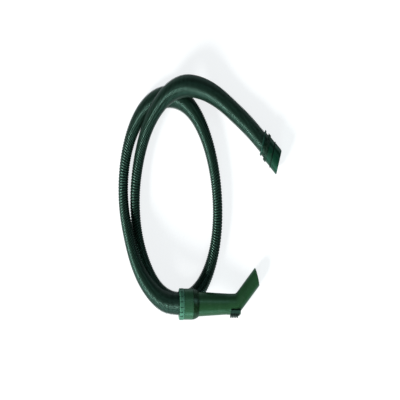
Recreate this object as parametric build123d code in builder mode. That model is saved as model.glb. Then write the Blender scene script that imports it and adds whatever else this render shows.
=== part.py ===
"""Vacuum cleaner hose with a bent, swivelling handle and a swivelling machine cuff.

Millimetres, +Z up. The hose lies on the floor, z = 0, in one and a half turns. The origin is
on the floor, under the middle of the box round the two fittings.
"""

import os
from math import asin, cos, degrees, pi, radians, sin, tan

from build123d import *

os.makedirs("parts", exist_ok=True)

# Hose
hose_radius = 19.0
hose_airway_radius = 16.2
arc_share = 0.45  # of the shorter run at a corner, used up by the arc there

# Fits
running_gap = 0.08
face_gap = 0.1

# Handle, measured along its axis from the collar's mouth
mouth_place = (-205.5, -137.0, 76.0)
handle_length = 241.0
wand_length = 96.0
wand_turn = 30.0
elbow_bend_radius = 46.0
wand_radius = 18.4
wand_bore_radius = 15.9
taper_radius = 21.8
taper_bore_radius = 18.6
collar_radius = 27.4
lock_ring_radius = 28.0
lock_ring_length = 18.4
lock_neck_length = 8.0
collar_length = 56.8
shoulder_length = 80.0
dome_crest = 12.0
dome_fall = 1.7
taper_end = 205.0
handle_hose_depth = 24.0
sleeve_radius = 21.6
thrust_flange_radius = 24.2
thrust_ring_thick = 1.3
thrust_flange_thick = 3.0
neck_radius = 24.9
handle_neck_start = 32.6
seal_seat_radius = 22.0
seal_heel_radius = 20.4
soft_edge = 1.0
small_chamfer = 0.4

# Suction slider, a saddle on the outer side of the bend
slider_start = 213.0
slider_length = 37.0
slider_travel = 12.0
slider_thick = 2.1
slider_rib_height = 3.4
slider_rib_width = 2.6
slider_rib_pitch = 6.8
slider_rib_arc = 72.0
slider_ribs = 5
rib_root = 0.2
saddle_arc = 120.0
slider_bed_radius = 18.9
slider_bed_root = 12.0
bed_front_margin = 2.0
bed_back_margin = 5.0
bed_arc = 96.0
port_start = 240.0
port_length = 8.0
port_width = 11.0
pad_margin = 3.0
pad_thick = 1.2
pad_arc = 52.0
spring_length = 14.0
spring_arc = 16.0
spring_thick = 0.35
spring_half_width = 2.0
spring_end_gap = 0.6
recess_depth = 1.25

# Machine cuff, measured along its axis from the ferrule's outer face
cuff_place = (132.2, 143.4, 25.6)
cuff_turn = -27.6
ferrule_radius = 24.3
ferrule_length = 6.0
cuff_neck_radius = 21.42
grip_start = 15.0
grip_end = 26.0
grip_radius = 25.6
cuff_front_wall = 1.6
cuff_flange_thick = 2.0
cuff_socket_radius = 23.9
cuff_seal_seat = 21.0
cuff_seal_setback = 4.0
cuff_nose_end = 34.0
cuff_radius = 23.2
cuff_end_radius = 23.75
cuff_bore_radius = 20.2
cuff_length = 76.0
cuff_rim_round = 3.0
cuff_hose_depth = 16.0
bead_start = 44.0
bead_end = 48.0
bead_radius = 25.0
bead_seat_depth = 1.0
knurl_count = 36
knurl_radius = 0.9
knurl_margin = 2.0


# The handle leans down until the wand end rests on the floor.
wand_reach = handle_length + wand_length * cos(radians(wand_turn))
lean = degrees(asin((mouth_place[2] - wand_radius) / wand_reach))
handle = Plane(
    origin=mouth_place,
    x_dir=(cos(radians(lean)), 0, -sin(radians(lean))),
    z_dir=(sin(radians(lean)), 0, cos(radians(lean))),
)
handle_axis = Axis(handle.origin, handle.x_dir)

cuff = Plane(
    origin=cuff_place,
    x_dir=(cos(radians(cuff_turn)), sin(radians(cuff_turn)), 0),
    z_dir=(0, 0, 1),
)
cuff_axis = Axis(cuff.origin, cuff.x_dir)


def along(plane, distance):
    """A point on a fitting's own axis."""
    return plane.origin + plane.x_dir * distance


def save(part, name):
    part.label = name
    export_step(part, f"parts/{name}.step")


# Hose: from the handle down over the strand beneath it, once round on the floor, under itself
# and the handle, up inside the first strand, over it and away to the cuff.
hose_route = [
    along(handle, handle_hose_depth),
    along(handle, -22),
    (-275, -132, 80),
    (-327, -110.5, 73.5),
    (-372, -77.5, 63),
    (-408, -31, 46.5),
    (-435, 41, 23),
    (-425, 117, 19),
    (-379, 181, 19),
    (-308, 216, 19),
    (-223, 224, 19),
    (-146, 200.5, 19),
    (-87, 146, 19),
    (-52, 75, 19),
    (-46, -3, 19),
    (-72, -69, 19),
    (-125, -117.5, 19),
    (-191, -137.5, 19),
    (-264.5, -129.5, 19),
    (-324, -94.5, 19),
    (-371, -29, 19),
    (-385, 43, 19),
    (-371, 112.5, 24),
    (-330, 176, 50),
    (-266, 221, 62),
    (-193, 241, 60),
    (-118, 237, 40),
    (-48, 221, 23),
    (24, 193, 19),
    along(cuff, -49),
    along(cuff, cuff_hose_depth),
]


def arc_radii(route):
    """The largest arc each corner takes from its share of the shorter run."""
    points = [Vector(p) for p in route]
    runs = [b - a for a, b in zip(points, points[1:])]
    radii = []
    for before, after in zip(runs, runs[1:]):
        half_turn = radians(before.get_angle(after) / 2)
        shorter = min(before.length, after.length)
        radii.append(arc_share * shorter / tan(half_turn))
    return radii


hose_radii = arc_radii(hose_route)
print("arc radii in diameters", [round(r / hose_radius / 2, 2) for r in hose_radii])

with BuildPart() as hose_tube:
    with BuildLine():
        hose_line = FilletPolyline(*hose_route, radius=hose_radii)
    with BuildSketch(Plane(hose_line @ 0, z_dir=hose_line % 0)):
        Circle(hose_radius)
    sweep(path=hose_line)
save(hose_tube.part, "hose_tube")
hose_section = pi * hose_radius**2
print("hose length", round(hose_line.length, 1))
print("volume over section times length", hose_tube.part.volume / hose_section / hose_line.length)


# Handle end. Each ring is a profile beside the axis, turned round it.
def turned(plane, outline):
    """A ring or tube turned about the plane's own X axis from an outline beside it."""
    with BuildPart() as ring:
        with BuildSketch(plane):
            with BuildLine():
                Polyline(*outline, close=True)
            make_face()
        revolve(axis=Axis(plane.origin, plane.x_dir))
    return ring.part


# Sleeve screwed on the hose's end: it turns in the collar, held by its flange.
lock_neck_end = lock_ring_length + lock_neck_length
flange_start = lock_neck_end + thrust_ring_thick + 2 * face_gap
flange_end = flange_start + thrust_flange_thick
sleeve_nose_end = 44.0
sleeve_nose_radius = 19.2
save(
    turned(
        handle,
        [
            (0, hose_radius),
            (handle_hose_depth, hose_radius),
            (handle_hose_depth, hose_airway_radius),
            (sleeve_nose_end, hose_airway_radius),
            (sleeve_nose_end, sleeve_nose_radius),
            (flange_end, sleeve_nose_radius),
            (flange_end, thrust_flange_radius),
            (flange_start, thrust_flange_radius),
            (flange_start, sleeve_radius),
            (0, sleeve_radius),
        ],
    ),
    "handle_hose_sleeve",
)

# Lock ring with finger flutes round its rim; its neck screws into the collar.
flute_count = 18
flute_radius = 1.5
flute_length = 13.0
with BuildPart() as lock_ring:
    with BuildSketch(handle):
        with BuildLine():
            Polyline(
                (0, sleeve_radius + running_gap),
                (lock_neck_end, sleeve_radius + running_gap),
                (lock_neck_end, neck_radius),
                (lock_ring_length, neck_radius),
                (lock_ring_length, lock_ring_radius - 0.8),
                (lock_ring_length - 1, lock_ring_radius),
                (1.5, lock_ring_radius),
                (0, lock_ring_radius - 1.5),
                close=True,
            )
        make_face()
    revolve(axis=handle_axis)
    with BuildSketch(Plane(handle.origin, x_dir=handle.y_dir, z_dir=handle.x_dir)):
        with PolarLocations(lock_ring_radius + 0.3, flute_count):
            Circle(flute_radius)
    extrude(amount=flute_length, mode=Mode.SUBTRACT)
save(lock_ring.part, "lock_ring")

# Thrust rings either side of the sleeve's flange, each split across so it can be fitted.
front_thrust_start = lock_neck_end + face_gap


def split_thrust_ring(plane, start, inner, outer):
    slit = 1.2
    axis = Axis(plane.origin, plane.x_dir)
    with BuildPart() as ring:
        with BuildSketch(plane):
            with Locations((start + thrust_ring_thick / 2, (inner + outer) / 2)):
                Rectangle(thrust_ring_thick, outer - inner)
        revolve(axis=axis)
        with BuildSketch(plane):
            with Locations((start + thrust_ring_thick / 2, (inner + outer) / 2)):
                Rectangle(thrust_ring_thick * 2, outer)
        extrude(amount=slit / 2, both=True, mode=Mode.SUBTRACT)
    return ring.part


thrust_inner = sleeve_radius + 0.3
save(
    split_thrust_ring(handle, front_thrust_start, thrust_inner, thrust_flange_radius),
    "front_thrust_ring",
)
save(
    split_thrust_ring(handle, flange_end + face_gap, thrust_inner, thrust_flange_radius),
    "rear_thrust_ring",
)

# Collar shell, with a soft edge each end and a shallow groove before the shoulder.
parting_gap = 0.4
collar_start = lock_ring_length + parting_gap
save(
    turned(
        handle,
        [
            (collar_start, neck_radius + face_gap),
            (collar_length, neck_radius + face_gap),
            (collar_length, collar_radius - soft_edge),
            (collar_length - soft_edge, collar_radius),
            (collar_start + soft_edge, collar_radius),
            (collar_start, collar_radius - soft_edge),
        ],
    ),
    "swivel_collar",
)

# Shoulder ring, a dome that brings the collar down to the taper.
dome_start = collar_length + parting_gap
dome_lip = 0.7
with BuildPart() as shoulder_ring:
    with BuildSketch(handle):
        with BuildLine():
            dome = ThreePointArc(
                (dome_start, collar_radius - small_chamfer / 2),
                (collar_length + dome_crest, collar_radius - dome_fall),
                (shoulder_length, taper_radius + dome_lip),
            )
            Polyline(
                dome @ 1,
                (shoulder_length, taper_radius + face_gap),
                (dome_start, taper_radius + face_gap),
                dome @ 0,
            )
        make_face()
    revolve(axis=handle_axis)
save(shoulder_ring.part, "shoulder_ring")

# Lip seal between the sleeve's nose and the handle tube.
seal_start = handle_neck_start + 2.4
save(
    turned(
        handle,
        [
            (seal_start, seal_seat_radius - face_gap),
            (seal_start, seal_heel_radius),
            (seal_start + 1.2, seal_heel_radius - 0.4),
            (seal_start + 4.2, sleeve_nose_radius + face_gap),
            (seal_start + 5.0, sleeve_nose_radius + face_gap),
            (seal_start + 3.4, seal_heel_radius + 0.6),
            (seal_start + 5.0, seal_seat_radius - face_gap),
        ],
    ),
    "handle_lip_seal",
)

# Handle tube: neck, taper, elbow, wand end, with the slider's bed and its air port.
elbow_cut = elbow_bend_radius * tan(radians(wand_turn / 2))
elbow_start = handle_length - elbow_cut
elbow_centre = handle.from_local_coords(Vector(elbow_start, elbow_bend_radius, 0))
elbow_axis = Axis(elbow_centre, handle.z_dir)
wand_direction = (
    handle.x_dir * cos(radians(wand_turn)) + handle.y_dir * sin(radians(wand_turn))
)
wand = Plane(
    origin=handle.from_local_coords(Vector(handle_length, 0, 0)),
    x_dir=wand_direction,
    z_dir=handle.z_dir,
)
wand_axis = Axis(wand.origin, wand.x_dir)
bed_start = slider_start - slider_travel - bed_front_margin
bed_end = slider_start + slider_length + bed_back_margin
handle_back = Plane(along(handle, elbow_start), x_dir=handle.y_dir, z_dir=handle.x_dir)


def saddle_strip(start, length, inner, outer, arc):
    """Part of a ring round the handle's axis, centred on the outer side of the bend."""
    with BuildPart() as strip:
        for half in (arc / 2, -arc / 2):
            with BuildSketch(handle):
                with Locations((start + length / 2, -(inner + outer) / 2)):
                    Rectangle(length, outer - inner)
            revolve(axis=handle_axis, revolution_arc=half)
    return strip.part


slider_bed = saddle_strip(
    bed_start, bed_end - bed_start, slider_bed_root, slider_bed_radius, bed_arc
)

with BuildPart() as handle_tube:
    with BuildSketch(handle):
        with BuildLine():
            Polyline(
                (handle_neck_start, 0),
                (handle_neck_start, neck_radius),
                (collar_length - 2, neck_radius),
                (collar_length - 2, taper_radius),
                (shoulder_length, taper_radius),
                (taper_end, wand_radius),
                (elbow_start, wand_radius),
                (elbow_start, 0),
                close=True,
            )
        make_face()
    revolve(axis=handle_axis)
    with BuildSketch(handle_back):
        Circle(wand_radius)
    revolve(axis=elbow_axis, revolution_arc=wand_turn)
    with BuildSketch(wand):
        with BuildLine():
            Polyline(
                (elbow_cut, 0),
                (elbow_cut, wand_radius),
                (wand_length - soft_edge, wand_radius),
                (wand_length, wand_radius - soft_edge),
                (wand_length, 0),
                close=True,
            )
        make_face()
    revolve(axis=wand_axis)
    add(slider_bed)
    # Airway
    with BuildSketch(handle):
        with BuildLine():
            Polyline(
                (handle_neck_start - 1, 0),
                (handle_neck_start - 1, seal_seat_radius),
                (sleeve_nose_end + 2, seal_seat_radius),
                (sleeve_nose_end + 2, taper_bore_radius),
                (shoulder_length, taper_bore_radius),
                (taper_end, wand_bore_radius),
                (elbow_start, wand_bore_radius),
                (elbow_start, 0),
                close=True,
            )
        make_face()
    revolve(axis=handle_axis, mode=Mode.SUBTRACT)
    with BuildSketch(handle_back):
        Circle(wand_bore_radius)
    revolve(axis=elbow_axis, revolution_arc=wand_turn, mode=Mode.SUBTRACT)
    with BuildSketch(wand):
        with BuildLine():
            Polyline(
                (elbow_cut, 0),
                (elbow_cut, wand_bore_radius),
                (wand_length + 1, wand_bore_radius),
                (wand_length + 1, 0),
                close=True,
            )
        make_face()
    revolve(axis=wand_axis, mode=Mode.SUBTRACT)
    # Air port through the bed, uncovered when the slider is pushed back
    port_depth = 24.0
    with BuildSketch(handle):
        with Locations((port_start + port_length / 2, -slider_bed_radius)):
            Rectangle(port_length, port_depth)
    extrude(amount=port_width / 2, both=True, mode=Mode.SUBTRACT)
save(handle_tube.part, "handle_tube")

# Suction slider: a ribbed saddle on the bed, with a recess under it for its pad and spring.
saddle_inner = slider_bed_radius + face_gap
saddle_outer = saddle_inner + slider_thick
pad_start = port_start - pad_margin
pad_length = port_length + 2 * pad_margin
spring_start = slider_start + 4

saddle = saddle_strip(slider_start, slider_length, saddle_inner, saddle_outer, saddle_arc)
ribs = [
    saddle_strip(
        slider_start + soft_edge + rib * slider_rib_pitch,
        slider_rib_width,
        saddle_outer - rib_root,
        saddle_outer + slider_rib_height,
        slider_rib_arc,
    )
    for rib in range(slider_ribs)
]
recess_floor = saddle_inner + recess_depth
recess_mouth = saddle_inner - 0.5
pad_recess = saddle_strip(pad_start, pad_length, recess_mouth, recess_floor, pad_arc)
spring_recess = saddle_strip(
    spring_start, spring_length, recess_mouth, recess_floor, spring_arc
)
with BuildPart() as suction_slider:
    add(saddle)
    add(ribs)
    add(pad_recess, mode=Mode.SUBTRACT)
    add(spring_recess, mode=Mode.SUBTRACT)
save(suction_slider.part, "suction_slider")

slider_seal = saddle_strip(
    pad_start + face_gap,
    pad_length - 2 * face_gap,
    recess_floor - face_gap / 2 - pad_thick,
    recess_floor - face_gap / 2,
    pad_arc - 2,
)
save(slider_seal, "slider_seal")

# Leaf spring, bowed towards the handle between the recess's two ends
spring_middle = spring_start + spring_length / 2
spring_back = face_gap / 2 - recess_floor
with BuildPart() as slider_spring:
    with BuildSketch(handle):
        with BuildLine():
            outer_bow = ThreePointArc(
                (spring_start + spring_end_gap, spring_back),
                (spring_middle, spring_back + recess_depth - spring_thick - face_gap),
                (spring_start + spring_length - spring_end_gap, spring_back),
            )
            inner_bow = ThreePointArc(
                (spring_start + spring_end_gap, spring_back + spring_thick),
                (spring_middle, spring_back + recess_depth - face_gap),
                (spring_start + spring_length - spring_end_gap, spring_back + spring_thick),
            )
            Line(outer_bow @ 0, inner_bow @ 0)
            Line(outer_bow @ 1, inner_bow @ 1)
        make_face()
    extrude(amount=spring_half_width, both=True)
save(slider_spring.part, "slider_spring")


# Machine end. The ferrule and its sleeve are fixed on the hose; the rest turns round them.
cuff_front_thrust = grip_start + cuff_front_wall + face_gap
cuff_flange_start = cuff_front_thrust + thrust_ring_thick + face_gap
cuff_flange_end = cuff_flange_start + cuff_flange_thick
cuff_rear_thrust = cuff_flange_end + face_gap
cuff_tube_start = cuff_rear_thrust + thrust_ring_thick + face_gap

save(
    turned(
        cuff,
        [
            (0, hose_radius + 1.2),
            (0.8, hose_radius),
            (ferrule_length, hose_radius),
            (ferrule_length, ferrule_radius - 0.8),
            (ferrule_length - 0.8, ferrule_radius),
            (0.8, ferrule_radius),
            (0, ferrule_radius - 0.8),
        ],
    ),
    "cuff_ferrule",
)

save(
    turned(
        cuff,
        [
            (ferrule_length, hose_radius),
            (cuff_hose_depth, hose_radius),
            (cuff_hose_depth, hose_airway_radius),
            (cuff_nose_end, hose_airway_radius),
            (cuff_nose_end, sleeve_nose_radius),
            (cuff_flange_end, sleeve_nose_radius),
            (cuff_flange_end, cuff_socket_radius - 0.3),
            (cuff_flange_start, cuff_socket_radius - 0.3),
            (cuff_flange_start, cuff_neck_radius),
            (ferrule_length, cuff_neck_radius),
        ],
    ),
    "cuff_hose_sleeve",
)

save(
    split_thrust_ring(cuff, cuff_front_thrust, cuff_neck_radius + 0.3, cuff_socket_radius - 0.3),
    "cuff_front_thrust_ring",
)
save(
    split_thrust_ring(cuff, cuff_rear_thrust, sleeve_nose_radius + 0.3, cuff_socket_radius - 0.3),
    "cuff_rear_thrust_ring",
)

# Grip ring, knurled round its rim
knurl_length = grip_end - grip_start - 2 * knurl_margin
with BuildPart() as cuff_grip_ring:
    with BuildSketch(cuff):
        with BuildLine():
            Polyline(
                (grip_start, cuff_neck_radius + running_gap),
                (grip_start + cuff_front_wall, cuff_neck_radius + running_gap),
                (grip_start + cuff_front_wall, cuff_socket_radius),
                (grip_end, cuff_socket_radius),
                (grip_end, grip_radius - 0.8),
                (grip_end - 0.8, grip_radius),
                (grip_start + 0.8, grip_radius),
                (grip_start, grip_radius - 0.8),
                close=True,
            )
        make_face()
    revolve(axis=cuff_axis)
    knurl_start = along(cuff, grip_start + knurl_margin)
    with BuildSketch(Plane(knurl_start, x_dir=cuff.y_dir, z_dir=cuff.x_dir)):
        with PolarLocations(grip_radius + 0.3, knurl_count, start_angle=5):
            Circle(knurl_radius)
    extrude(amount=knurl_length, mode=Mode.SUBTRACT)
save(cuff_grip_ring.part, "cuff_grip_ring")

# Machine spigot, with a groove for its bead
with BuildPart() as cuff_tube:
    with BuildSketch(cuff):
        with BuildLine():
            rim = RadiusArc(
                (cuff_length - cuff_rim_round, cuff_end_radius),
                (cuff_length, cuff_end_radius - cuff_rim_round),
                cuff_rim_round,
            )
            Polyline(
                rim @ 1,
                (cuff_length, cuff_bore_radius + small_chamfer),
                (cuff_length - small_chamfer, cuff_bore_radius),
                (cuff_nose_end + 4, cuff_bore_radius),
                (cuff_nose_end + 4, cuff_seal_seat),
                (cuff_tube_start, cuff_seal_seat),
                (cuff_tube_start, cuff_socket_radius - face_gap),
                (grip_end - face_gap, cuff_socket_radius - face_gap),
                (grip_end - face_gap, cuff_radius - 0.2),
                (grip_end + face_gap, cuff_radius),
                (bead_start, cuff_radius),
                (bead_start, cuff_radius - bead_seat_depth),
                (bead_end, cuff_radius - bead_seat_depth),
                (bead_end, cuff_end_radius),
                rim @ 0,
            )
        make_face()
    revolve(axis=cuff_axis)
save(cuff_tube.part, "cuff_tube")

cuff_seal_start = cuff_tube_start + cuff_seal_setback
save(
    turned(
        cuff,
        [
            (cuff_seal_start, cuff_seal_seat - face_gap / 2),
            (cuff_seal_start, 20.2),
            (cuff_seal_start + 4, sleeve_nose_radius + face_gap),
            (cuff_seal_start + 4.8, sleeve_nose_radius + face_gap),
            (cuff_seal_start + 3.4, 20.5),
            (cuff_seal_start + 5, cuff_seal_seat - face_gap / 2),
        ],
    ),
    "cuff_lip_seal",
)

# Bead, a rubber ring that seals the spigot in the machine's inlet
with BuildPart() as cuff_bead_seal:
    with BuildSketch(cuff):
        with BuildLine():
            crown = ThreePointArc(
                (bead_start + face_gap, cuff_radius + 0.1),
                ((bead_start + bead_end) / 2, bead_radius),
                (bead_end - face_gap, cuff_radius + 0.1),
            )
            Polyline(
                crown @ 1,
                (bead_end - face_gap, cuff_radius - bead_seat_depth + 0.05),
                (bead_start + face_gap, cuff_radius - bead_seat_depth + 0.05),
                crown @ 0,
            )
        make_face()
    revolve(axis=cuff_axis)
save(cuff_bead_seal.part, "cuff_bead_seal")
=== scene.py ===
"""Looks for the vacuum cleaner hose.

A ribbed hose, a bent handle with its suction slider, and a machine cuff.
"""

import math

import bmesh
import bpy
import numpy as np
from mathutils import Matrix, Vector


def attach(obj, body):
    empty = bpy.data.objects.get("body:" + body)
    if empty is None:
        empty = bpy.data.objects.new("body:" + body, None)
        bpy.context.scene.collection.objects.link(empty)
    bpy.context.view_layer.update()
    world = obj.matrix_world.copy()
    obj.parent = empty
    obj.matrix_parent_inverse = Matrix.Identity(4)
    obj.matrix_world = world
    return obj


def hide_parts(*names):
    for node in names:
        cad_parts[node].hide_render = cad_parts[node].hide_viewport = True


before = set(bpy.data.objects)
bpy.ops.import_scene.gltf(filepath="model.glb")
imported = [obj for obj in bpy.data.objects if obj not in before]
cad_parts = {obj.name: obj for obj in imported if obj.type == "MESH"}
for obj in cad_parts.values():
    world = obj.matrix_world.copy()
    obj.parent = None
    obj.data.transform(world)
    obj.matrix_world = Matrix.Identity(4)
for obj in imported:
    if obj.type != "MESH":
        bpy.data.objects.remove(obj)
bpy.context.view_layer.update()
bpy.ops.object.select_all(action="DESELECT")
scene = bpy.context.scene
scene.view_settings.view_transform = "Standard"

MM = 0.001

# ---------------------------------------------------------------------------------- camera
# The hose is seen from straight above. The camera's upward axis leans back, which draws
# everything view_squeeze times narrower than it is.
view_squeeze = 2.351
view_width = 1.624
view_middle = Vector((-0.120, 0.0441, 0.0))
camera_lens = 1000.0
camera_sensor = 36.0
camera_distance = view_width * camera_lens / camera_sensor


def make_camera():
    camera = bpy.data.objects.new("camera", bpy.data.cameras.new("camera"))
    holder = bpy.data.objects.new("camera_holder", None)
    scene.collection.objects.link(camera)
    scene.collection.objects.link(holder)
    camera.data.lens = camera_lens
    camera.data.sensor_width = camera_sensor
    camera.data.clip_start = 1.0
    camera.data.clip_end = camera_distance * 2
    up_y = 1 / view_squeeze
    lean = Matrix.Identity(4)
    lean.col[1] = Vector((0, up_y, -math.sqrt(1 - up_y**2), 0))
    lean.col[3] = Vector((*view_middle.xy, camera_distance, 1))
    camera.parent = holder
    camera.matrix_parent_inverse = lean
    scene.camera = camera


make_camera()

# ------------------------------------------------------------------------------------ hose
handle_mouth = Vector((-205.5, -137.0, 76.0)) * MM
handle_length = 241 * MM
wand_length = 96 * MM
wand_turn = math.radians(30)
wand_radius = 18.4 * MM
wand_reach = handle_length + wand_length * math.cos(wand_turn)
handle_lean = math.asin((handle_mouth.z - wand_radius) / wand_reach)
handle_direction = Vector((math.cos(handle_lean), 0, -math.sin(handle_lean)))
cuff_mouth = Vector((132.2, 143.4, 25.6)) * MM
cuff_turn = math.radians(-27.6)
cuff_direction = Vector((math.cos(cuff_turn), math.sin(cuff_turn), 0))


def along_handle(distance):
    return handle_mouth + handle_direction * distance * MM


def along_cuff(distance):
    return cuff_mouth + cuff_direction * distance * MM


crest_radius = 19.9 * MM
hose_route = [
    along_handle(24),
    along_handle(-22),
    (-0.275, -0.132, 0.080),
    (-0.327, -0.1105, 0.0735),
    (-0.372, -0.0775, 0.063),
    (-0.4055, -0.031, 0.0465),
    (-0.435, 0.041, 0.023),
    (-0.425, 0.117, 0.019),
    (-0.379, 0.181, 0.019),
    (-0.308, 0.216, 0.019),
    (-0.223, 0.224, 0.019),
    (-0.146, 0.2005, 0.019),
    (-0.087, 0.146, 0.019),
    (-0.052, 0.075, 0.019),
    (-0.046, -0.003, 0.019),
    (-0.072, -0.069, 0.019),
    (-0.125, -0.1175, 0.019),
    (-0.191, -0.1375, 0.019),
    (-0.2645, -0.1295, 0.019),
    (-0.324, -0.0945, 0.019),
    (-0.3735, -0.029, 0.019),
    (-0.3875, 0.043, 0.019),
    (-0.371, 0.1125, 0.024),
    (-0.330, 0.176, 0.050),
    (-0.266, 0.221, 0.062),
    (-0.193, 0.241, 0.060),
    (-0.118, 0.237, 0.040),
    (-0.048, 0.221, 0.023),
    (0.024, 0.193, 0.019),
    along_cuff(-49),
    along_cuff(16),
]
rib_pitch = 4.85 * MM
rib_depth = 2.2 * MM
rings_per_rib = 5
points_around = 40
crest_power = 0.3
floor_clearance = 0.2 * MM
plain_end_ribs = 1.2
hose_wall = 2.6 * MM
end_bore_depth = 45 * MM
weld_distance = 1e-6


def centreline():
    """The hose's line: a smooth spline on the route's points, read back as close points."""
    line = bpy.data.curves.new("hose_line", "CURVE")
    line.dimensions = "3D"
    line.resolution_u = 40
    spline = line.splines.new("NURBS")
    spline.points.add(len(hose_route) - 1)
    for point, place in zip(spline.points, hose_route):
        point.co = (*place, 1)
    spline.order_u = 3
    spline.use_endpoint_u = True
    holder = bpy.data.objects.new("hose_line", line)
    scene.collection.objects.link(holder)
    mesh = bpy.data.meshes.new_from_object(holder)
    places = np.array([v.co[:] for v in mesh.vertices])
    bpy.data.objects.remove(holder)
    bpy.data.curves.remove(line)
    bpy.data.meshes.remove(mesh)
    return places


def carried_frames(places):
    """Two directions across the line at each point, carried along it without twist."""
    ahead = np.gradient(places, axis=0)
    ahead /= np.linalg.norm(ahead, axis=1)[:, None]
    side = np.cross(ahead[0], (0, 0, 1.0))
    sides = []
    for direction in ahead:
        side = side - direction * side.dot(direction)
        side /= np.linalg.norm(side)
        sides.append(side)
    sides = np.array(sides)
    return sides, np.cross(ahead, sides)


def rib_profile(phase):
    """0 in the groove and 1 on the rounded crest, for a place along one rib."""
    wave = 0.5 - 0.5 * np.cos(2 * np.pi * phase)
    return wave**crest_power


def ribbed_hose(line):
    """A tube with one helical rib. Its grid runs along the helix, so the crest stays sharp."""
    steps = np.linalg.norm(np.diff(line, axis=0), axis=1)
    distance = np.concatenate(([0], np.cumsum(steps)))
    total = distance[-1]
    side, over = carried_frames(line)
    turns = int(total / rib_pitch) + 2
    rings = turns * rings_per_rib
    ring, around = np.meshgrid(
        np.arange(-rings_per_rib, rings), np.arange(points_around), indexing="ij"
    )
    share = around / points_around
    place = (ring / rings_per_rib + share) * rib_pitch
    flat_end = plain_end_ribs * rib_pitch
    kept = np.clip(place, 0, total)
    fade = np.clip(np.minimum(kept, total - kept) / flat_end, 0, 1)
    crest = rib_profile(place / rib_pitch - share)
    radius = crest_radius - rib_depth * (1 - crest * fade)
    angle = 2 * np.pi * share
    column = [np.interp(kept, distance, line[:, i]) for i in range(3)]
    side_at = [np.interp(kept, distance, side[:, i]) for i in range(3)]
    over_at = [np.interp(kept, distance, over[:, i]) for i in range(3)]
    wide, high = radius * np.cos(angle), radius * np.sin(angle)
    points = np.stack(
        [column[i] + side_at[i] * wide + over_at[i] * high for i in range(3)], axis=-1
    )
    points[..., 2] = np.maximum(points[..., 2], floor_clearance)
    count = points.shape[0]
    index = np.arange(count * points_around).reshape(count, points_around)
    here = index[: count - rings_per_rib - 1]
    up = index[1 : count - rings_per_rib]
    across = np.concatenate(
        (here[:, 1:], index[rings_per_rib : count - 1, :1]), axis=1
    )
    up_across = np.concatenate((up[:, 1:], index[rings_per_rib + 1 :, :1]), axis=1)
    faces = np.stack((here, across, up_across, up), axis=-1).reshape(-1, 4)
    mesh = bpy.data.meshes.new("hose")
    mesh.from_pydata(points.reshape(-1, 3).tolist(), [], faces.tolist())
    measure = mesh.uv_layers.new(name="along")
    travel = (place / rib_pitch).reshape(-1)[faces]
    first, second = share[: len(here)], share[: len(here)] + 1 / points_around
    turn = np.stack((first, second, second, first), axis=-1).reshape(-1, 4)
    measure.data.foreach_set("uv", np.stack((travel, turn), axis=-1).reshape(-1))
    hose = bpy.data.objects.new("ribbed_hose", mesh)
    scene.collection.objects.link(hose)
    return hose


hose_line = centreline()
hose = ribbed_hose(hose_line)


def close_hose_ends(hose):
    """Joins the grid's seam, then turns each end into an open bore a short way down."""
    mesh = bmesh.new()
    mesh.from_mesh(hose.data)
    bmesh.ops.remove_doubles(mesh, verts=mesh.verts[:], dist=weld_distance)
    bmesh.ops.dissolve_degenerate(mesh, edges=mesh.edges[:], dist=weld_distance)
    rims = [edge for edge in mesh.edges if edge.is_boundary]
    caps = bmesh.ops.holes_fill(mesh, edges=rims, sides=0)["faces"]
    bmesh.ops.recalc_face_normals(mesh, faces=mesh.faces[:])
    for cap in caps:
        inward = -cap.normal.copy()
        bmesh.ops.inset_region(mesh, faces=[cap], thickness=hose_wall)
        grown = bmesh.ops.extrude_face_region(mesh, geom=[cap])["geom"]
        moved = [item for item in grown if isinstance(item, bmesh.types.BMVert)]
        bmesh.ops.translate(mesh, verts=moved, vec=inward * end_bore_depth)
        mesh.faces.remove(cap)
    mesh.to_mesh(hose.data)
    mesh.free()
    hose.data.shade_smooth()


close_hose_ends(hose)

# ------------------------------------------------------------------------- floor and light
floor_size = 14


def make_floor():
    bpy.ops.mesh.primitive_plane_add(size=floor_size, location=(0, 0, 0))
    floor = bpy.context.object
    floor.name = "studio_floor"
    return floor


def make_sun(name, strength, spread, direction, colour):
    """A soft lamp far away. direction is where the light comes from."""
    lamp = bpy.data.lights.new(name, "SUN")
    lamp.energy = strength
    lamp.angle = math.radians(spread)
    lamp.color = colour
    holder = bpy.data.objects.new(name, lamp)
    scene.collection.objects.link(holder)
    holder.rotation_mode = "QUATERNION"
    holder.rotation_quaternion = Vector(direction).to_track_quat("Z", "Y")


def make_studio_air(seen, lighting, mirrored):
    """White behind everything, dimmer where it lights the hose, darkest where mirrored."""
    world = bpy.data.worlds.new("studio_air")
    scene.world = world
    world.use_nodes = True
    nodes, links = world.node_tree.nodes, world.node_tree.links
    shades = []
    for brightness, colour in (
        (seen, (1, 1, 1, 1)),
        (lighting, (0.92, 0.97, 1.0, 1)),
        (mirrored, (0.85, 0.97, 1.0, 1)),
    ):
        shade = nodes.new("ShaderNodeBackground")
        shade.inputs["Color"].default_value = colour
        shade.inputs["Strength"].default_value = brightness
        shades.append(shade.outputs["Background"])
    path = nodes.new("ShaderNodeLightPath")
    gloss = nodes.new("ShaderNodeMixShader")
    links.new(path.outputs["Is Glossy Ray"], gloss.inputs["Fac"])
    links.new(shades[1], gloss.inputs[1])
    links.new(shades[2], gloss.inputs[2])
    behind = nodes.new("ShaderNodeMixShader")
    links.new(path.outputs["Is Camera Ray"], behind.inputs["Fac"])
    links.new(gloss.outputs["Shader"], behind.inputs[1])
    links.new(shades[0], behind.inputs[2])
    links.new(behind.outputs["Shader"], nodes["World Output"].inputs["Surface"])


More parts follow.
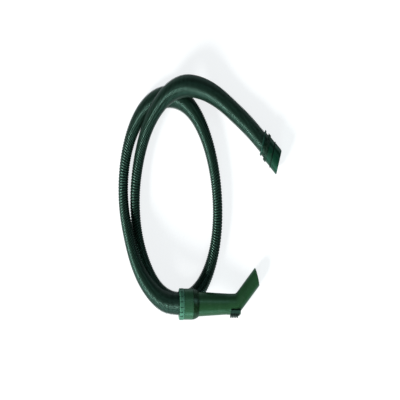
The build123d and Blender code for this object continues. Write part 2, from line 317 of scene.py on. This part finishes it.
floor = make_floor()
make_studio_air(seen=1.0, lighting=0.28, mirrored=0.02)
make_sun("key_window", 6.5, 16, (-0.85, -0.5, 0.52), (1.0, 0.99, 0.97))
make_sun("fill_window", 0.5, 24, (0.75, 0.5, 0.9), (0.8, 0.92, 1.0))
make_sun("side_window", 2.2, 36, (-0.1, -1.0, 0.16), (0.72, 1.0, 0.96))

# ------------------------------------------------------------------------------ materials


def new_material(name):
    material = bpy.data.materials.new(name)
    material.use_nodes = True
    return material, material.node_tree.nodes, material.node_tree.links


def group_with(name, inputs, outputs):
    """An empty node group with named sockets. Each input is a name and its usual value."""
    group = bpy.data.node_groups.new(name, "ShaderNodeTree")
    for label, usual in inputs:
        socket = group.interface.new_socket(
            label, in_out="INPUT", socket_type="NodeSocketFloat"
        )
        socket.default_value = usual
    for label in outputs:
        group.interface.new_socket(label, in_out="OUTPUT", socket_type="NodeSocketFloat")
    return group, group.nodes.new("NodeGroupInput"), group.nodes.new("NodeGroupOutput")


def put(nodes, kind, **settings):
    """A new node of that kind. Settings are attributes, or inputs with _ for a space."""
    node = nodes.new("ShaderNode" + kind)
    for name, value in settings.items():
        label = name.replace("_", " ")
        if hasattr(node, name):
            setattr(node, name, value)
        elif label in node.inputs:
            node.inputs[label].default_value = value
        else:
            raise KeyError(kind + " has no " + name)
    return node


def moulding_grain():
    """The fine spark-eroded skin of a moulding, with faint flow clouds under it."""
    scales = [("Grain per metre", 1500.0), ("Cloud per metre", 18.0)]
    group, given, out = group_with("moulding_grain", scales, ["Height", "Cloud"])
    nodes, links = group.nodes, group.links
    place = put(nodes, "TexCoord")
    grain = put(nodes, "TexNoise", Detail=2.0, Roughness=0.6)
    cloud = put(nodes, "TexNoise", Detail=4.0, Roughness=0.55)
    for noise, label in ((grain, "Grain per metre"), (cloud, "Cloud per metre")):
        links.new(place.outputs["Object"], noise.inputs["Vector"])
        links.new(given.outputs[label], noise.inputs["Scale"])
    links.new(grain.outputs["Fac"], out.inputs["Height"])
    links.new(cloud.outputs["Fac"], out.inputs["Cloud"])
    return group


def handling_scuffs():
    """Short fine scratches in patches, where hands and floors have rubbed."""
    spread = [("Patch per metre", 30.0), ("Reach", 0.6)]
    group, given, out = group_with("handling_scuffs", spread, ["Scuff"])
    nodes, links = group.nodes, group.links
    place = put(nodes, "TexCoord")
    stretch = put(nodes, "Mapping", Scale=(60.0, 900.0, 900.0), Rotation=(0.2, 0.5, 0.35))
    lines = put(nodes, "TexNoise", Scale=1.0, Detail=1.0)
    patch = put(nodes, "TexNoise", Detail=2.0)
    thin = put(nodes, "MapRange", From_Min=0.60, From_Max=0.70)
    edge = put(nodes, "Math", operation="SUBTRACT")
    fade = put(nodes, "MapRange", From_Min=-0.04, From_Max=0.06)
    both = put(nodes, "Math", operation="MULTIPLY")
    links.new(place.outputs["Object"], stretch.inputs["Vector"])
    links.new(stretch.outputs["Vector"], lines.inputs["Vector"])
    links.new(place.outputs["Object"], patch.inputs["Vector"])
    links.new(given.outputs["Patch per metre"], patch.inputs["Scale"])
    links.new(lines.outputs["Fac"], thin.inputs["Value"])
    links.new(patch.outputs["Fac"], edge.inputs[0])
    links.new(given.outputs["Reach"], edge.inputs[1])
    links.new(edge.outputs["Value"], fade.inputs["Value"])
    links.new(thin.outputs["Result"], both.inputs[0])
    links.new(fade.outputs["Result"], both.inputs[1])
    links.new(both.outputs["Value"], out.inputs["Scuff"])
    return group


def rib_groove():
    """0 on the hose's crests and 1 down in its grooves, from the hose's own measure."""
    group, _, out = group_with("rib_groove", [], ["Groove"])
    nodes, links = group.nodes, group.links
    measure = put(nodes, "UVMap", uv_map="along")
    split = put(nodes, "SeparateXYZ")
    phase = put(nodes, "Math", operation="SUBTRACT")
    turn = put(nodes, "Math", operation="MULTIPLY")
    turn.inputs[1].default_value = math.tau
    wave = put(nodes, "Math", operation="COSINE")
    depth = put(nodes, "MapRange", From_Min=-0.35, From_Max=0.5)
    links.new(measure.outputs["UV"], split.inputs["Vector"])
    links.new(split.outputs["X"], phase.inputs[0])
    links.new(split.outputs["Y"], phase.inputs[1])
    links.new(phase.outputs["Value"], turn.inputs[0])
    links.new(turn.outputs["Value"], wave.inputs[0])
    links.new(wave.outputs["Value"], depth.inputs["Value"])
    links.new(depth.outputs["Result"], out.inputs["Groove"])
    return group


grain_group = moulding_grain()
scuff_group = handling_scuffs()
groove_group = rib_groove()


def use_group(nodes, group, **values):
    node = nodes.new("ShaderNodeGroup")
    node.node_tree = group
    for name, value in values.items():
        node.inputs[name.replace("_", " ")].default_value = value
    return node


def blend_colours(nodes, links, amount, below, above):
    """below where amount is 0, above where it is 1. Each is a colour or a node's output."""
    mix = put(nodes, "Mix", data_type="RGBA")
    links.new(amount, mix.inputs["Factor"])
    for colour, socket in ((below, mix.inputs[6]), (above, mix.inputs[7])):
        if isinstance(colour, tuple):
            socket.default_value = (*colour, 1)
        else:
            links.new(colour, socket)
    return mix.outputs[2]


def scaled(colour, factor):
    return tuple(channel * factor for channel in colour)


GREEN_GLOSS = (0.5, 1.0, 0.82, 1)
DUST = (0.085, 0.10, 0.082)
HOSE_DEEP = (0.0060, 0.0200, 0.0122)
HOSE_PALE = (0.0088, 0.0290, 0.0185)
HOSE_GROOVE_SHADE = (0.0003, 0.0008, 0.0006)
PAPER_DEEP = (0.215, 0.22, 0.225)
PAPER_PALE = (0.245, 0.25, 0.255)
PAPER_BOUNCE = (0.46, 0.52, 0.52)
PAPER_GLOW = 0.82


def moulded_plastic(name, colour, roughness, grain=0.00004, scuff=0.5, gloss=0.4):
    """Green moulded plastic: clouded colour, fine skin, scuffs, and painted shade darkening
    its corners.
    """
    material, nodes, links = new_material(name)
    shader = nodes["Principled BSDF"]
    skin = use_group(nodes, grain_group)
    cloud = put(nodes, "MapRange", From_Min=0.3, From_Max=0.7)
    links.new(skin.outputs["Cloud"], cloud.inputs["Value"])
    deep, pale = scaled(colour, 0.82), scaled(colour, 1.16)
    body = blend_colours(nodes, links, cloud.outputs["Result"], deep, pale)
    rubbed = use_group(nodes, scuff_group, Reach=0.56)
    faint = put(nodes, "Math", operation="MULTIPLY")
    faint.inputs[1].default_value = scuff
    links.new(rubbed.outputs["Scuff"], faint.inputs[0])
    worn = blend_colours(nodes, links, faint.outputs["Value"], body, DUST)
    # Painted shade: ambient occlusion darkens the colour in corners and recesses, where shade
    # falls.
    corner = put(nodes, "AmbientOcclusion", samples=8, Distance=0.006)
    corner_shade_amount = put(nodes, "MapRange", From_Min=0.35, From_Max=0.9, To_Min=1.0, To_Max=0.0)
    links.new(corner.outputs["AO"], corner_shade_amount.inputs["Value"])
    painted_corner_shade = blend_colours(nodes, links, corner_shade_amount.outputs["Result"], worn, scaled(colour, 0.25))
    links.new(painted_corner_shade, shader.inputs["Base Color"])
    matt = put(nodes, "MapRange", To_Min=roughness, To_Max=roughness + 0.25)
    links.new(faint.outputs["Value"], matt.inputs["Value"])
    links.new(matt.outputs["Result"], shader.inputs["Roughness"])
    bump = put(nodes, "Bump", Strength=0.5, Distance=grain)
    links.new(skin.outputs["Height"], bump.inputs["Height"])
    links.new(bump.outputs["Normal"], shader.inputs["Normal"])
    shader.inputs["Specular IOR Level"].default_value = gloss
    shader.inputs["Specular Tint"].default_value = GREEN_GLOSS
    return material


def ribbed_plastic():
    """The hose's softer plastic: worn crests, and grooves coloured near black as painted
    shade.
    """
    material, nodes, links = new_material("ribbed_plastic")
    shader = nodes["Principled BSDF"]
    skin = use_group(nodes, grain_group, Cloud_per_metre=16.0, Grain_per_metre=900.0)
    cloud = put(nodes, "MapRange", From_Min=0.3, From_Max=0.7)
    links.new(skin.outputs["Cloud"], cloud.inputs["Value"])
    crest = blend_colours(nodes, links, cloud.outputs["Result"], HOSE_DEEP, HOSE_PALE)
    rubbed = use_group(nodes, scuff_group, Patch_per_metre=22.0, Reach=0.54)
    faint = put(nodes, "Math", operation="MULTIPLY")
    faint.inputs[1].default_value = 0.12
    links.new(rubbed.outputs["Scuff"], faint.inputs[0])
    worn = blend_colours(nodes, links, faint.outputs["Value"], crest, DUST)
    groove = use_group(nodes, groove_group)
    # Painted shade: the grooves, and a little past them, are coloured near black where shade
    # falls between the ribs.
    shade = blend_colours(nodes, links, groove.outputs["Groove"], worn, HOSE_GROOVE_SHADE)
    links.new(shade, shader.inputs["Base Color"])
    polish = put(nodes, "MapRange", To_Min=0.33, To_Max=0.45)
    links.new(groove.outputs["Groove"], polish.inputs["Value"])
    links.new(polish.outputs["Result"], shader.inputs["Roughness"])
    bump = put(nodes, "Bump", Strength=0.2, Distance=0.00005)
    links.new(skin.outputs["Height"], bump.inputs["Height"])
    links.new(bump.outputs["Normal"], shader.inputs["Normal"])
    shader.inputs["Specular IOR Level"].default_value = 0.4
    shader.inputs["Specular Tint"].default_value = GREEN_GLOSS
    return material


def plain_finish(name, low, high, roughness, metallic=0.0, clouds=120.0):
    """Rubber, bearing plastic or steel: two shades of one colour, and a fine skin."""
    material, nodes, links = new_material(name)
    shader = nodes["Principled BSDF"]
    skin = use_group(nodes, grain_group, Cloud_per_metre=clouds)
    clouded = blend_colours(nodes, links, skin.outputs["Cloud"], low, high)
    links.new(clouded, shader.inputs["Base Color"])
    worn = put(nodes, "MapRange", To_Min=roughness - 0.08, To_Max=roughness + 0.08)
    links.new(skin.outputs["Cloud"], worn.inputs["Value"])
    links.new(worn.outputs["Result"], shader.inputs["Roughness"])
    bump = put(nodes, "Bump", Strength=0.4, Distance=0.00003)
    links.new(skin.outputs["Height"], bump.inputs["Height"])
    links.new(bump.outputs["Normal"], shader.inputs["Normal"])
    shader.inputs["Metallic"].default_value = metallic
    return material


def floor_paper():
    """White paper to look at, which throws back only a little light under the hose."""
    material, nodes, links = new_material("floor_paper")
    shader = nodes["Principled BSDF"]
    skin = use_group(nodes, grain_group, Grain_per_metre=300.0, Cloud_per_metre=2.5)
    paper = blend_colours(nodes, links, skin.outputs["Cloud"], PAPER_DEEP, PAPER_PALE)
    path = put(nodes, "LightPath")
    lift = put(nodes, "Math", operation="MULTIPLY")
    lift.inputs[1].default_value = PAPER_GLOW
    links.new(path.outputs["Is Camera Ray"], lift.inputs[0])
    links.new(lift.outputs["Value"], shader.inputs["Emission Strength"])
    shader.inputs["Emission Color"].default_value = (0.97, 0.99, 1.0, 1)
    shown = blend_colours(nodes, links, path.outputs["Is Camera Ray"], PAPER_BOUNCE, paper)
    links.new(shown, shader.inputs["Base Color"])
    shader.inputs["Roughness"].default_value = 0.8
    shader.inputs["Specular IOR Level"].default_value = 0.2
    return material


barrel_green = moulded_plastic("barrel_green", (0.0140, 0.0500, 0.0190), 0.30)
collar_green = moulded_plastic("collar_green", (0.0180, 0.0640, 0.0300), 0.30)
shoulder_green = moulded_plastic("shoulder_green", (0.0036, 0.0173, 0.0037), 0.34)
ring_green = moulded_plastic("ring_green", (0.0450, 0.1400, 0.0900), 0.28)
slider_green = moulded_plastic("slider_green", (0.0026, 0.0110, 0.0070), 0.45, gloss=0.2)
cuff_green = moulded_plastic("cuff_green", (0.0022, 0.0238, 0.0119), 0.28, scuff=0.15)
grip_green = moulded_plastic("grip_green", (0.0015, 0.0091, 0.0041), 0.34)
ferrule_green = moulded_plastic("ferrule_green", (0.0070, 0.0300, 0.0210), 0.28)
bead_rubber = moulded_plastic(
    "bead_rubber", (0.0006, 0.0046, 0.0022), 0.55, scuff=0.1, gloss=0.15
)
seal_rubber = plain_finish("seal_rubber", (0.004, 0.005, 0.0045), (0.009, 0.011, 0.010), 0.6)
bearing_white = plain_finish("bearing_white", (0.50, 0.52, 0.48), (0.62, 0.63, 0.58), 0.42)
spring_steel = plain_finish(
    "spring_steel", (0.48, 0.49, 0.50), (0.62, 0.63, 0.64), 0.30, metallic=1.0
)
hose_green = ribbed_plastic()

finish_of = {
    "handle_tube": barrel_green,
    "swivel_collar": collar_green,
    "lock_ring": ring_green,
    "shoulder_ring": shoulder_green,
    "suction_slider": slider_green,
    "cuff_tube": cuff_green,
    "cuff_grip_ring": grip_green,
    "cuff_ferrule": ferrule_green,
    "handle_hose_sleeve": grip_green,
    "cuff_hose_sleeve": grip_green,
    "front_thrust_ring": bearing_white,
    "rear_thrust_ring": bearing_white,
    "cuff_front_thrust_ring": bearing_white,
    "cuff_rear_thrust_ring": bearing_white,
    "handle_lip_seal": seal_rubber,
    "cuff_lip_seal": seal_rubber,
    "cuff_bead_seal": bead_rubber,
    "slider_seal": seal_rubber,
    "slider_spring": spring_steel,
}

for node, finish in finish_of.items():
    skin_slots = bpy.data.objects[node].data.materials
    skin_slots.clear()
    skin_slots.append(finish)
floor.data.materials.append(floor_paper())
hose.data.materials.append(hose_green)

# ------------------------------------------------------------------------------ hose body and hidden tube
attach(hose, "hose")
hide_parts("hose_tube")
